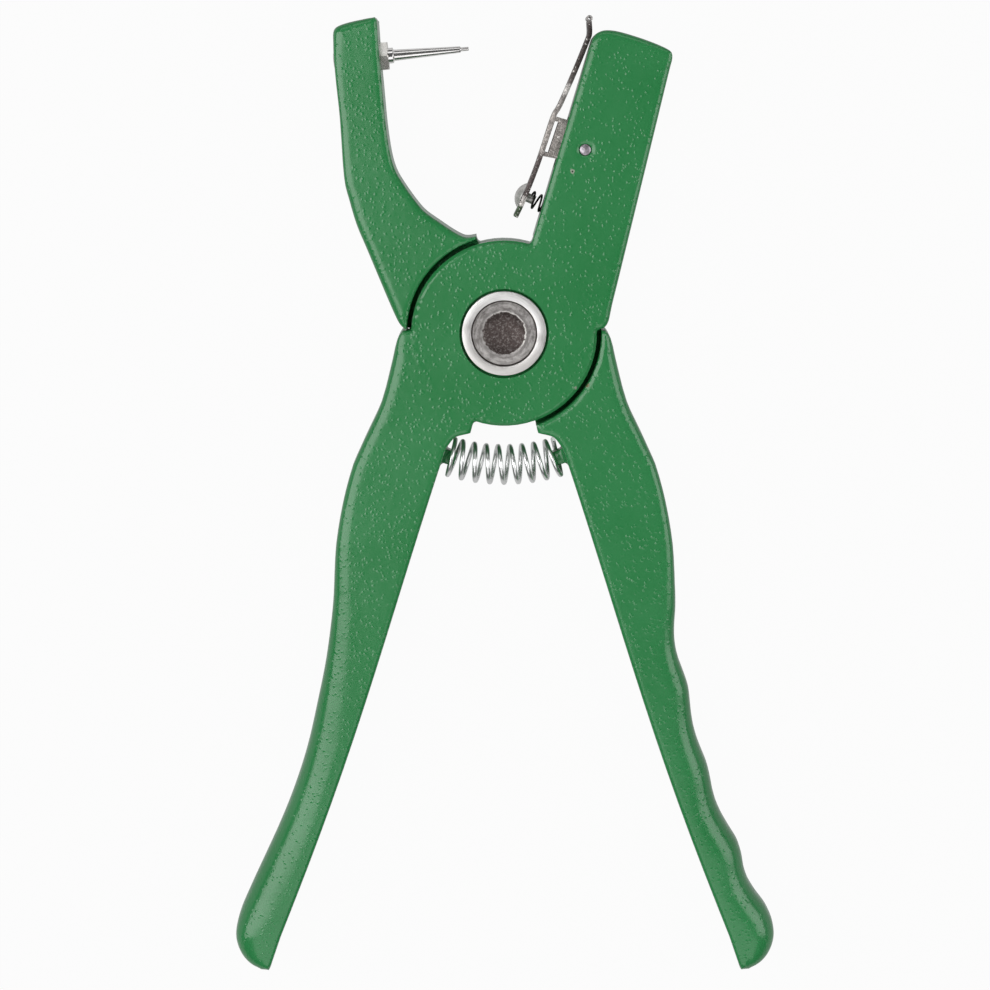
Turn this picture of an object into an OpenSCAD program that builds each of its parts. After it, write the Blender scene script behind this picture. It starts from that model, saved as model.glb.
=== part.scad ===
// Ear tag applicator: a lap jointed plier that sets two-piece livestock ear tags.
// It lies on its back, fully open. X is across, Y points to the jaws, Z is up.
// The pivot axis is the Z axis, and the resting plane is z = 0. Sizes are in millimetres.

/* [Levers] */
// Thickness of both levers
lever_t = 18; // [16:0.5:20]
// Diameter of the two lapped pivot discs
disc_d = 48; // [46:0.5:50]
// Gap between each disc and the lever that goes round it
disc_gap = 1.2; // [0.8:0.1:1.6]
// How far the discs' machined faces stand proud of the castings
disc_proud = 0.05; // [0.03:0.01:0.2]
// Clearance between the two discs
lap_clear = 0.1; // [0.05:0.05:0.3]
// Gap between jaw and handle shoulder at the open stop
stop_gap = 0.2; // [0.2:0.1:0.6]
// Rounding of the crisp edges
crisp_r = 0.8; // [0.5:0.1:1.2]
// Rounding of the jaws' outer edges
jaw_r = 1.3; // [1:0.1:2]
// Rounding of the outer edges at the handles' shoulders
spine_r = 2.6; // [2:0.1:4]
// Rounding of the outer edge at the grip
grip_r = 8.2; // [6:0.2:9]

/* [Handles] */
// Distance from the pivot to the lowest point of the handles
handle_reach = 169.5; // [160:0.5:185]
// Angle between each handle's inner face and the middle line
handle_splay = 18.8; // [17:0.2:20]
// Distance of the spring seat below the pivot
seat_y = 34; // [33:0.5:36]
// Distance of the spring seat from the middle line
seat_x = 16.5; // [15.5:0.5:18]
// Width across the handle at the spring seat
shoulder_w = 22.8; // [20:0.2:25]
// Width across the handle at its narrowest
grip_w = 11.3; // [10:0.1:13]
// Width across the handle near its end
end_w = 13.4; // [12:0.2:15]
// How far the inner face bows toward the middle line
handle_bow = 1.6; // [0:0.1:2.5]
// Radius of the handle's rounded end
end_r = 8; // [6:0.5:9]
// Depth of each finger groove, from the top
groove_depths = [1.6, 1.0, 1.4, 2.3];

/* [Male jaw] */
// Height of the male jaw above the pivot
male_reach = 81; // [76:0.5:88]
// Distance of the male jaw's face from the pivot, at the pin
male_x = 31.8; // [30:0.2:33]
// Thickness of the male jaw at the pin
male_w = 11.7; // [10:0.1:13]
// Distance of the pin below the jaw's end
pin_drop = 9.9; // [8:0.1:14]
// Tilt of the pin from square, so that it meets the other jaw square when closed
pin_tilt = 4.9; // [3:0.1:6]

/* [Female jaw] */
// Length of the female jaw's face
face_len = 58.5; // [56:0.5:64]
// Tilt of the female jaw's face
face_tilt = 16.6; // [15:0.1:18]
// Where the face starts on the disc, from the middle line
face_foot = 7; // [6:0.5:8]
// Width of the female jaw at its foot
foot_w = 24.1; // [23:0.1:25]
// Width of the female jaw at its end
top_w = 21.2; // [19:0.2:23]

/* [Pivot] */
// Diameter of the pivot pin
pivot_d = 17; // [15:0.5:18]
// Running clearance on the radius of the pivot
pivot_clear = 0.05; // [0.02:0.01:0.08]
// Diameter of the pivot pin's head and of the washer
washer_d = 22.1; // [20:0.1:23]
// Thickness of the head and of the washer
washer_t = 2.6; // [2:0.1:3.5]
// Gap round the head and the washer in their counterbores
bore_gap = 0.5; // [0.2:0.1:0.8]
// How far the washer lies below the front lever's face
washer_sink = 0.3; // [0.1:0.1:0.8]
// How far the pin's end lies below the washer's face
pin_sink = 1.1; // [0.5:0.1:1.6]
// Diameter of the dimple in the pin's end
dimple_d = 10.6; // [8:0.2:12]
// Depth of the dimple
dimple_depth = 1.4; // [0.8:0.1:2]

/* [Handle spring] */
// Outer diameter of the handle spring
spring_d = 10.8; // [10:0.1:12]
// Wire diameter of the handle spring
spring_wire = 1.2; // [0.8:0.1:1.4]
// Open turns of the handle spring
spring_turns = 8; // [6:1:9]
// Distance of the spring's ends from their seats: the end turns bear on the corner above
spring_inset = 1.3; // [1.2:0.1:1.6]
// Length of the lugs that hold the spring's ends
lug_len = 3.4; // [2.4:0.1:4]
// Width of the lugs, along the handle
lug_w = 3.8; // [3:0.1:4.5]
// Width of the lugs, across the lever's thickness
lug_h = 6.2; // [5:0.1:6.5]

/* [Applicator pin] */
// Diameter of the threaded shank
shank_d = 4; // [3:0.1:5]
// Radial clearance of the shank in the jaw and in the nut
shank_clear = 0.05; // [0.03:0.01:0.1]
// How far the shank stands proud of the jaw's outer face
shank_proud = 0.5; // [0.3:0.1:1]
// Diameter of the taper at its foot
taper_d = 2.9; // [2.4:0.1:3.2]
// Diameter of the taper at its end
taper_end_d = 1.6; // [1.4:0.1:2]
// Length of the taper
taper_len = 17.4; // [15:0.2:18]
// Diameter of the tip
tip_d = 1; // [0.8:0.1:1.2]
// Length of the tip
tip_len = 2.1; // [1.5:0.1:2.6]
// Width across the flats of the nut
nut_af = 7; // [6.5:0.1:8]
// Thickness of the nut
nut_t = 2.2; // [1.8:0.1:3]
// Length of the collar between nut and taper
collar_len = 1.3; // [1:0.1:2]

/* [Clip] */
// Thickness of the clip's sheet
clip_t = 1.2; // [1:0.1:1.4]
// Width of the clip
clip_w = 11; // [10:0.2:12]
// Width of the slot in the clip that the applicator pin enters
fork_w = 5; // [4:0.2:6]
// Gap between the clip's ears and the jaw's slot
ear_gap = 0.4; // [0.3:0.1:0.6]
// Diameter of the clip's axle
axle_d = 3; // [2.5:0.1:3.4]
// Clearance on the radius of the axle in the clip
axle_clear = 0.06; // [0.03:0.01:0.1]
// Depth of the axle behind the jaw's face
axle_depth = 6.4; // [6:0.1:7.5]
// Place of the axle along the jaw's face
axle_at = 27.2; // [26:0.2:29]
// Radius of the ears round the axle
ear_r = 3.2; // [2.8:0.1:3.6]
// Diameter of the dome on the clip's lower end
dome_d = 6.8; // [6:0.1:7.5]
// Height of the dome
dome_h = 1.8; // [1.2:0.1:2.4]
// Outer diameter of the curl at the clip's upper end
curl_d = 1.6; // [1.4:0.1:2]
// Diameter of the hole in the curl
curl_hole = 0.7; // [0.5:0.1:0.8]

/* [Clip spring] */
// Outer diameter of the clip spring
clip_spring_d = 4.7; // [4.2:0.1:5]
// Wire diameter of the clip spring
clip_wire = 0.55; // [0.4:0.05:0.7]
// Turns of the clip spring
clip_turns = 4.5; // [4:0.5:8]
// Depth of the pocket for the clip spring in the jaw
pocket_depth = 6; // [4:0.5:8]
// Place of the clip spring along the jaw's face
pocket_at = 10.5; // [10:0.1:12]
// Gap round the clip spring in its pocket
pocket_gap = 0.35; // [0.3:0.05:0.6]
// Tilt of the clip spring from the face's normal
pocket_tilt = 8; // [4:0.5:10]

/* [Hidden] */

$fn = 64;
disc_r = disc_d / 2;
clear_r = disc_r + disc_gap;
mid_z = lever_t / 2;
stop_y = 0.85;          // height of the open stop above the pivot
seat_gap = 0.3;         // gap between the clip spring's ends and their seats
past = 1;               // how far a cutting tool runs past what it cuts
axle_fit = 0.01;        // clearance on the radius of the axle in the jaw
rivet_fit = 0.05;       // clearance on the radius of the rivet in the clip
head_gap = 0.15;        // gap under the rivet's dome, because the strip is a little bent
cast_green = [0.22, 0.52, 0.30];
steel = [0.78, 0.78, 0.77];
dark_steel = [0.45, 0.44, 0.43];

// Where the female jaw's face starts, on the disc's rim
foot = [face_foot, sqrt(disc_r * disc_r - face_foot * face_foot)];
pin_y = male_reach - pin_drop;

// Curve through all points, with steps points on each stretch
function spline_point(a, b, c, d, t) =
  0.5 * ((2 * b) + (c - a) * t + (2 * a - 5 * b + 4 * c - d) * t * t
    + (3 * b - a - 3 * c + d) * t * t * t);
function spline(p, steps) = [
  for (i = [0 : len(p) - 2], j = [0 : steps - 1])
    spline_point(
      i > 0 ? p[i - 1] : 2 * p[0] - p[1], p[i], p[i + 1],
      i < len(p) - 2 ? p[i + 2] : 2 * p[i + 1] - p[i], j / steps),
  p[len(p) - 1]
];
// The left normal of a closed outline at point i
function left_normal(p, i) =
  let (a = p[(i + len(p) - 1) % len(p)], b = p[(i + 1) % len(p)], t = [b[0] - a[0], b[1] - a[1]])
  [-t[1], t[0]] / norm(t);

// The same outline on the -X side
function flipped(p) = [for (i = [len(p) - 1 : -1 : 0]) [-p[i][0], p[i][1], p[i][2]]];

// A plate with rounded edges and faced ends, which lie just below the discs' faces.
// Each outline point is [x, y, edge radius], anticlockwise.
module rounded_plate(outline, steps = 4) {
  n = len(outline);
  inward = [for (i = [0 : n - 1]) left_normal(outline, i)];
  rings = concat([for (j = [0 : steps]) [j, 0]], [for (j = [steps : -1 : 0]) [j, 1]]);
  points = [
    for (ring = rings, i = [0 : n - 1])
      let (
        r = min(outline[i][2], lever_t / 2 - 0.1),
        turn = 90 * ring[0] / steps,
        inset = r * (1 - sin(turn)),
        rise = r * (1 - cos(turn)))
      [
        outline[i][0] + inward[i][0] * inset,
        outline[i][1] + inward[i][1] * inset,
        ring[1] == 0 ? rise : lever_t - rise
      ]
  ];
  last = len(rings) - 1;
  sides = [
    for (k = [0 : last - 1], i = [0 : n - 1])
      let (a = k * n + i, b = k * n + (i + 1) % n, c = a + n, d = b + n)
      each [[a, c, b], [b, c, d]]
  ];
  caps = [[for (i = [0 : n - 1]) i], [for (i = [n - 1 : -1 : 0]) last * n + i]];
  wide = 4 * handle_reach;
  intersection() {
    polyhedron(points = points, faces = concat(sides, caps), convexity = 6);
    translate([-wide / 2, -wide / 2, disc_proud]) cube([wide, wide, lever_t - 2 * disc_proud]);
  }
}

// A wire along a path. Each path point is [position, direction away from the coil's axis].
module wire(path, diameter, sides) {
  n = len(path);
  points = [
    for (i = [0 : n - 1])
      let (
        before = path[max(i - 1, 0)][0],
        after = path[min(i + 1, n - 1)][0],
        along = (after - before) / norm(after - before),
        raw = path[i][1] - along * (path[i][1] * along),
        out = raw / norm(raw),
        across = cross(along, out))
      for (j = [0 : sides - 1])
        path[i][0] + (out * cos(360 * j / sides) + across * sin(360 * j / sides)) * diameter / 2
  ];
  walls = [
    for (i = [0 : n - 2], j = [0 : sides - 1])
      let (a = i * sides + j, b = i * sides + (j + 1) % sides, c = a + sides, d = b + sides)
      each [[a, c, b], [b, c, d]]
  ];
  ends = [
    [for (j = [0 : sides - 1]) j],
    [for (j = [sides - 1 : -1 : 0]) (n - 1) * sides + j]
  ];
  polyhedron(points = points, faces = concat(walls, ends), convexity = 10);
}

// Handle edges. The share f runs from 0 at the spring seat to 1 where the rounded end starts.
end_drop = end_r + 1.4;  // the rounded end is a little longer than wide
end_slope = 0.34;        // run of the inner face at the end, for each unit of drop
end_narrow = 1.2;        // how much the last bulge narrows into the rounded end
palm_swell = 0.75;       // how much the grip swells in its middle
neck_cut = 0.5;          // how much it narrows above that swell
run_len = handle_reach - end_drop - seat_y;
function run_y(f) = -(seat_y + f * run_len);
function inner_x(f) =
  seat_x + f * run_len * tan(handle_splay) - handle_bow * sin(180 * pow(f, 1.4));
function fade(f, a, b) = 0.5 - 0.5 * cos(180 * min(max((f - a) / (b - a), 0), 1));
function swell(f, a, b) = pow(sin(180 * min(max((f - a) / (b - a), 0), 1)), 2);
function handle_w(f) =
  grip_w + (shoulder_w - grip_w) * (1 - fade(f, 0, 0.6)) + (end_w - grip_w) * fade(f, 0.68, 0.97)
    - end_narrow * fade(f, 0.95, 1.02)
    + palm_swell * swell(f, 0.36, 0.66) - neck_cut * swell(f, 0.16, 0.4);
// Finger grooves lie between these shares of the run
bump_at = [0.29, 0.47, 0.645, 0.815, 0.96];
function groove(f) =
  let (k = [for (i = [0 : 3]) if (f > bump_at[i] && f < bump_at[i + 1]) i])
  len(k) == 0 ? 0 : groove_depths[k[0]]
    * pow(sin(180 * (f - bump_at[k[0]]) / (bump_at[k[0] + 1] - bump_at[k[0]])), 1.3);
groove_round = 0.8;      // share of that rounding on the handle with the finger grooves
function handle_edge_r(f) = spine_r + (grip_r - spine_r) * fade(f, 0.05, 0.85);

// The handle on the +X side, as an anticlockwise outline
function handle_outline(grooved) = concat(
  spline([
    [6.5, -(disc_r - 4), crisp_r], [8.2, -(disc_r - 0.3), crisp_r],
    [8.8, -(disc_r + 1.9), crisp_r], [10.6, -(disc_r + 2.4), crisp_r],
    [13, -(disc_r + 3.2), crisp_r],
    [seat_x - 4 * tan(handle_splay), -(seat_y - 4), crisp_r]
  ], 3),
  [for (i = [0 : 14]) let (f = i / 14) [inner_x(f), run_y(f), crisp_r]],
  [
    [inner_x(1) + end_slope * (end_drop - 2.2), run_y(1) - end_drop + 2.2, crisp_r],
    [inner_x(1) + end_slope * (end_drop - 0.6), run_y(1) - end_drop + 0.5, 1.8]
  ],
  [
    for (a = [98 : -14 : 0])
      [
        inner_x(1) + handle_w(1) - end_r + end_r * cos(a),
        run_y(1) - end_drop * sin(a),
        3 + 3 * cos(a)
      ]
  ],
  [
    for (i = [35 : -1 : 0])
      let (
        f = i / 36,
        share = grooved ? groove_round : 1,
        r = min(handle_edge_r(f) * share, 6 + 30 * (1 - f)))
      [inner_x(f) + handle_w(f) - (grooved ? groove(f) : 0), run_y(f), r]
  ],
  spline([
    [clear_r + 10.9, -27, spine_r], [clear_r + 6.7, -17.9, spine_r],
    [clear_r + 3.9, -7.4, spine_r], [clear_r + 3.1, -3.8, spine_r - 0.5],
    [clear_r + 2.2, stop_y - 1.7, spine_r - 1.5],
    [clear_r + 1.1, stop_y - stop_gap / 2, crisp_r + 0.2]
  ], 3),
  [
    [disc_r - 3, stop_y - stop_gap / 2, crisp_r],
    [disc_r - 9, -8, crisp_r]
  ]
);

// The male jaw, drawn on the +X side as an anticlockwise outline
function male_outline() = let (top = male_reach, outer = male_x + male_w) concat(
  [[disc_r - 9, 6, crisp_r], [disc_r - 3, stop_y + stop_gap / 2, crisp_r]],
  spline([
    [clear_r + 0.3, stop_y + stop_gap / 2, crisp_r + 0.2], [clear_r + 1.6, 2.1, jaw_r],
    [clear_r + 2.8, 4.2, jaw_r + 0.4], [clear_r + 5, 9.2, jaw_r + 0.7],
    [clear_r + 10.3, 22, jaw_r + 0.7], [outer - 5.5, 28, jaw_r + 0.7],
    [outer - 3.6, 34.5, jaw_r + 0.7], [outer - 2.3, 40.4, jaw_r + 0.4],
    [outer - 1.4, top - 26, jaw_r + 0.2], [outer - 0.5, top - 17, jaw_r],
    [outer + 0.1, top - 10, jaw_r + 0.3], [outer + 0.2, top - 6, 2],
    [outer + 0.2, top - 3.9, 2.2], [outer - 0.6, top - 2.5, 2],
    [outer - 3.4, top - 1.4, 2], [outer - 8, top - 0.4, 1.6], [male_x + 1.2, top, 1]
  ], 3),
  spline([
    [male_x + 0.6, top - 0.8, crisp_r], [male_x, top - 10, crisp_r],
    [male_x - 0.7, top - 18, crisp_r], [male_x - 1.5, top - 27, crisp_r],
    [male_x - 2.6, 46.4, crisp_r], [male_x - 3.9, 42, crisp_r], [male_x - 5.8, 38.7, crisp_r],
    [male_x - 8.6, 34.7, crisp_r], [male_x - 11.3, 31.5, crisp_r],
    [clear_r - 8.3, clear_r + 3.7, crisp_r], [clear_r - 12, clear_r + 1.2, crisp_r],
    [clear_r - 15.2, clear_r - 0.4, crisp_r], [clear_r - 18, clear_r - 0.1, 0.3]
  ], 3),
  [[clear_r - 19, disc_r - 4, 0.3]]
);

// The female jaw in its face's own frame: x goes into the jaw, y along its face.
// level_s is where the open stop's level lies in that frame.
function level_s(w) =
  (stop_y + stop_gap / 2 - foot[1] + w * sin(face_tilt)) / cos(face_tilt);
function female_outline() = let (top = face_len) concat(
  [[disc_r - 9, level_s(disc_r - 9), crisp_r]],
  spline([
    [foot_w - 1.6, level_s(foot_w - 1.6), crisp_r], [foot_w + 0.1, level_s(foot_w) + 0.4, 1],
    [foot_w + 0.8, level_s(foot_w) + 2.4, jaw_r], [foot_w + 0.45, -9, jaw_r],
    [foot_w, 0, jaw_r], [(foot_w + top_w) / 2 - 0.1, top / 2, jaw_r],
    [top_w + 0.15, top - 7, jaw_r], [top_w, top - 3, 1]
  ], 3),
  spline([
    [top_w - 0.3, top - 1.7, 0.8], [top_w - 1.3, top - 0.9, 0.8], [top_w - 5, top - 0.3, 1.4],
    [top_w - 10, top, 1.6], [6.6, top, 1.6], [4, top - 0.3, 1.4], [2.1, top - 0.9, 1.2],
    [0.7, top - 2.1, crisp_r + 0.2], [0, top - 3.7, crisp_r + 0.2]
  ], 2),
  [[0, top / 2, crisp_r + 0.2], [0, 0, crisp_r]],
  [[1.2, -3, crisp_r], [5, -12, crisp_r]]
);

module on_face() {
  translate([foot[0], foot[1], 0]) rotate([0, 0, -face_tilt]) children();
}

// A disc with a broken edge on its outer face, between two heights
module lap_disc(z0, z1, top_edge) {
  edge = 0.7;
  e0 = top_edge ? 0 : edge;
  e1 = top_edge ? edge : 0;
  rotate_extrude($fn = 128) polygon([
    [0, z0], [disc_r - e0, z0], [disc_r, z0 + e0], [disc_r, z1 - e1], [disc_r - e1, z1], [0, z1]
  ]);
}

// Middle of the spring's seat on the +X handle, a little above the start of its run
seat_rise = 1.6;
spring_y = seat_y - seat_rise;
spring_x = seat_x - seat_rise * tan(handle_splay);
module spring_lug() {
  sunk = 2;
  translate([spring_x, -spring_y, mid_z]) rotate([0, 0, handle_splay])
    translate([-lug_len / 2 + sunk / 2, 0, 0]) cube([lug_len + sunk, lug_w, lug_h], center = true);
}

module lever_bores(washer_up) {
  seat_z = washer_up ? lever_t - washer_sink - washer_t : -past;
  seat_h = (washer_up ? washer_sink : lap_clear) + washer_t + past;
  translate([0, 0, -past]) cylinder(d = pivot_d + 2 * pivot_clear, h = lever_t + 2 * past);
  translate([0, 0, seat_z]) cylinder(d = washer_d + 2 * bore_gap, h = seat_h, $fn = 96);
}

// Room for the other lever's disc, from the height z0 up
module lap_room(z0) {
  translate([0, 0, z0]) cylinder(r = clear_r, h = mid_z + lap_clear / 2 + past, $fn = 128);
}

module front_lever() color(cast_green) difference() {
  union() {
    difference() {
      on_face() rounded_plate(female_outline());
      lap_room(-past);
    }
    difference() {
      rounded_plate(flipped(handle_outline(false)));
      lap_room(-past);
    }
    mirror([1, 0, 0]) spring_lug();
    lap_disc(mid_z + lap_clear / 2, lever_t, true);
  }
  lever_bores(true);
  on_face() {
    clip_slot();
    spring_pocket();
    translate([axle_depth, axle_at, -past])
      cylinder(d = axle_d + 2 * axle_fit, h = lever_t + 2 * past);
  }
}

module rear_lever() color(cast_green) difference() {
  union() {
    difference() {
      rounded_plate(flipped(male_outline()));
      lap_room(mid_z - lap_clear / 2);
    }
    difference() {
      rounded_plate(handle_outline(true));
      lap_room(mid_z - lap_clear / 2);
    }
    spring_lug();
    lap_disc(0, mid_z - lap_clear / 2, false);
  }
  lever_bores(false);
  at_pin() {
    translate([0, 0, -male_w - 3]) cylinder(d = shank_d + 2 * shank_clear, h = male_w + 6);
    cylinder(d = nut_af * 1.3, h = past);
  }
}

// Frame of the applicator pin: z along the pin, 0 where the nut sits on the jaw
face_sink = 0.15;       // depth of the nut's spot face
module at_pin() {
  translate([-(male_x + face_sink), pin_y, mid_z])
    rotate([0, 0, pin_tilt]) rotate([0, 90, 0]) children();
}

module pivot_pin() color(dark_steel) {
  top = lever_t - washer_sink - pin_sink;
  break_edge = 0.4;
  rotate_extrude($fn = 96) polygon([
    [0, 0], [washer_d / 2 - break_edge, 0], [washer_d / 2, break_edge],
    [washer_d / 2, washer_t], [pivot_d / 2, washer_t], [pivot_d / 2, top - break_edge],
    [pivot_d / 2 - break_edge, top], [dimple_d / 2, top],
    [dimple_d / 2 - 0.6, top - 0.5 * dimple_depth], [dimple_d / 4, top - 0.85 * dimple_depth],
    [0, top - dimple_depth]
  ]);
}

module pivot_washer() color(steel) {
  z1 = lever_t - washer_sink;
  z0 = z1 - washer_t;
  hole_r = pivot_d / 2 + pivot_clear;
  break_edge = 0.3;
  rotate_extrude($fn = 96) polygon([
    [hole_r, z0], [washer_d / 2, z0], [washer_d / 2, z1 - break_edge],
    [washer_d / 2 - break_edge, z1], [hole_r + break_edge, z1], [hole_r, z1 - break_edge]
  ]);
}

// The handle spring bends round a centre above it, so that both ends meet their seats square
bend_r = spring_x / sin(handle_splay);
bend_y = bend_r * cos(handle_splay) - spring_y;
module handle_spring() color(steel) {
  coil_r = (spring_d - spring_wire) / 2;
  closed = 0.5;         // turns at each end that lie nearly flat
  closed_rise = 0.35;   // how much of the open pitch a closed turn rises
  rings = 14;           // path points in each turn
  end_angle = (spring_inset + spring_wire / 2) * 180 / (PI * bend_r);
  sweep = 2 * (handle_splay - end_angle);
  weight = spring_turns + 2 * closed * closed_rise;
  count = ceil((spring_turns + 2 * closed) * rings);
  path = [
    for (i = [0 : count])
      let (
        u = (spring_turns + 2 * closed) * i / count - closed,
        rise = u < 0 ? u * closed_rise
          : u > spring_turns ? spring_turns + (u - spring_turns) * closed_rise : u,
        bend = -sweep / 2 + sweep * (rise + closed * closed_rise) / weight,
        down = [sin(bend), -cos(bend), 0],
        out = down * cos(360 * u) - [0, 0, 1] * sin(360 * u))
      [[0, bend_y, mid_z] + down * bend_r + out * coil_r, out]
  ];
  wire(path, spring_wire, 8);
}

module applicator_pin() color(steel) at_pin() {
  back = -(male_w + shank_proud - face_sink);
  edge = 0.4;
  slot_w = 0.8;
  slot_depth = 0.9;
  difference() {
    rotate_extrude($fn = 48) polygon([
      [0, back], [shank_d / 2 - edge, back], [shank_d / 2, back + edge],
      [shank_d / 2, nut_t], [taper_d / 2 + 0.2, nut_t + collar_len],
      [taper_d / 2, nut_t + collar_len], [taper_end_d / 2, nut_t + collar_len + taper_len],
      [tip_d / 2, nut_t + collar_len + taper_len + 0.1],
      [tip_d / 2, nut_t + collar_len + taper_len + tip_len],
      [0, nut_t + collar_len + taper_len + tip_len]
    ]);
    translate([-shank_d, -slot_w / 2, back - past]) cube([2 * shank_d, slot_w, slot_depth + past]);
  }
}

module pin_nut() color(steel) at_pin() {
  corner_r = nut_af / 2 / cos(30);
  bevel = 0.5;
  difference() {
    intersection() {
      cylinder(r = corner_r, h = nut_t, $fn = 6);
      rotate_extrude($fn = 64) polygon([
        [0, 0], [corner_r - bevel, 0], [corner_r, bevel / 2], [corner_r, nut_t - bevel / 2],
        [corner_r - bevel, nut_t], [0, nut_t]
      ]);
    }
    translate([0, 0, -past]) cylinder(d = shank_d + 2 * shank_clear, h = nut_t + 2 * past);
  }
}

// The clip's middle line, in the female jaw's frame
clip_path = spline([
  [-5.8, pocket_at - 5], [-5.1, pocket_at - 0.5], [-4.5, 16], [-4.1, 22], [-3.8, axle_at + 5.4],
  [-3, axle_at + 9.1], [-1.8, face_len - 13], [-0.35 - clip_t / 2, face_len - 4.5],
  [-0.35 - clip_t / 2, face_len - 2.4], [-1.9, face_len + 0.4]
], 4);
// A strip of even thickness along an open line
function open_normal(p, i) =
  let (t = p[min(i + 1, len(p) - 1)] - p[max(i - 1, 0)]) [-t[1], t[0]] / norm(t);
function strip_outline(p, t) = concat(
  [for (i = [0 : len(p) - 1]) p[i] + open_normal(p, i) * t / 2],
  [for (i = [len(p) - 1 : -1 : 0]) p[i] - open_normal(p, i) * t / 2]
);

fork_down = 17;                     // how far below the jaw's end the slot for the pin starts
fork_len = 12;                      // length of that slot
ear_low = 22.5;                     // where the ears' lower edge leaves the strip
ear_high = axle_at + 6;             // where their upper edge leaves it
module ear_shape() difference() {
  union() {
    polygon([
      [-3.9, ear_low], [0.5, ear_low + 0.4], [axle_depth, axle_at - ear_r],
      [axle_depth, axle_at + ear_r], [0.5, ear_high], [-3.5, ear_high]
    ]);
    translate([axle_depth, axle_at]) circle(r = ear_r);
  }
  translate([axle_depth, axle_at]) circle(d = axle_d + 2 * axle_clear);
  polygon([
    [-3.4, ear_low + 1.2], [-2.4, ear_low + 1.2], [-2.1, ear_high - 1.2], [-3.1, ear_high - 1.2]
  ]);
}

module clip_lever() color(steel) on_face() difference() {
  low_z = mid_z - clip_w / 2;
  curl = clip_path[len(clip_path) - 1] + [-0.2, curl_d / 2 - 0.1];
  union() {
    translate([0, 0, low_z]) linear_extrude(clip_w) polygon(strip_outline(clip_path, clip_t));
    translate([curl[0], curl[1], low_z]) cylinder(d = curl_d, h = clip_w, $fn = 32);
    for (z = [low_z, low_z + clip_w - clip_t])
      translate([0, 0, z]) linear_extrude(clip_t) ear_shape();
  }
  translate([curl[0], curl[1], low_z - past])
    cylinder(d = curl_hole, h = clip_w + 2 * past, $fn = 24);
  translate([-2 * strip_gap, face_len - fork_down, mid_z - fork_w / 2])
    cube([2 * strip_gap, fork_len, fork_w]);
  at_rivet() translate([0, 0, -strip_gap / 2])
    cylinder(d = rivet_d + 2 * rivet_fit, h = strip_gap, $fn = 32);
}

// The ears' slot in the female jaw, drawn in its frame
module clip_slot() {
  w = clip_w + 2 * ear_gap;
  low = ear_low - 1.7;
  high = ear_high + 0.8;
  translate([-past, low, mid_z - w / 2])
    cube([axle_depth + ear_r + 0.6 + past, high - low, w]);
}

module spring_pocket() {
  translate([0, pocket_at, mid_z]) rotate([0, 0, -pocket_tilt]) rotate([0, 90, 0])
    translate([0, 0, -2]) cylinder(d = clip_spring_d + 2 * pocket_gap, h = pocket_depth + 2);
}

// Frame of the clip's dome rivet: z points into the jaw, 0 at the strip's middle
rivet_d = 2.4;
strip_gap = 5;                      // distance of the strip from the jaw's face at the dome
module at_rivet() {
  translate([0, pocket_at, mid_z]) rotate([0, 0, -pocket_tilt]) rotate([0, 90, 0])
    translate([0, 0, -strip_gap]) children();
}

module clip_axle() color(steel) on_face() translate([axle_depth, axle_at, 0]) {
  foot_z = 0.3;
  dome = 0.35;
  straight = lever_t - 0.15;
  rotate_extrude($fn = 48) polygon([
    [0, foot_z], [axle_d / 2 - 0.2, foot_z], [axle_d / 2, foot_z + 0.2], [axle_d / 2, straight],
    [axle_d / 2 * 0.8, straight + 0.6 * dome], [axle_d / 2 * 0.4, straight + 0.93 * dome],
    [0, straight + dome]
  ]);
}

module clip_rivet() color(steel) on_face() at_rivet() {
  base = -clip_t / 2 - head_gap;
  ball_r = (dome_d * dome_d / 4 + dome_h * dome_h) / (2 * dome_h);
  half = asin(dome_d / 2 / ball_r);
  tail = 2.2;
  rotate_extrude($fn = 64) polygon(concat(
    [for (a = [0 : 6]) [
      ball_r * sin(half * a / 6), base - dome_h + ball_r * (1 - cos(half * a / 6))
    ]],
    [[rivet_d / 2, base], [rivet_d / 2, clip_t / 2 + tail], [0, clip_t / 2 + tail]]
  ));
}

module clip_spring() color(dark_steel) on_face() at_rivet() {
  coil_r = (clip_spring_d - clip_wire) / 2;
  z0 = clip_t / 2 + seat_gap + clip_wire / 2;
  z1 = strip_gap + pocket_depth - seat_gap - clip_wire / 2;
  rings = 12;
  count = ceil(clip_turns * rings);
  path = [
    for (i = [0 : count])
      let (
        turn = 360 * clip_turns * i / count,
        out = [cos(turn), sin(turn), 0])
      [[0, 0, z0 + (z1 - z0) * i / count] + out * coil_r, out]
  ];
  wire(path, clip_wire, 6);
}

front_lever();
rear_lever();
pivot_pin();
pivot_washer();
handle_spring();
applicator_pin();
pin_nut();
clip_lever();
clip_axle();
clip_rivet();
clip_spring();
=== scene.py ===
import math
from functools import cached_property

import bmesh
import bpy
from mathutils import Matrix, Vector, kdtree, noise


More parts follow.
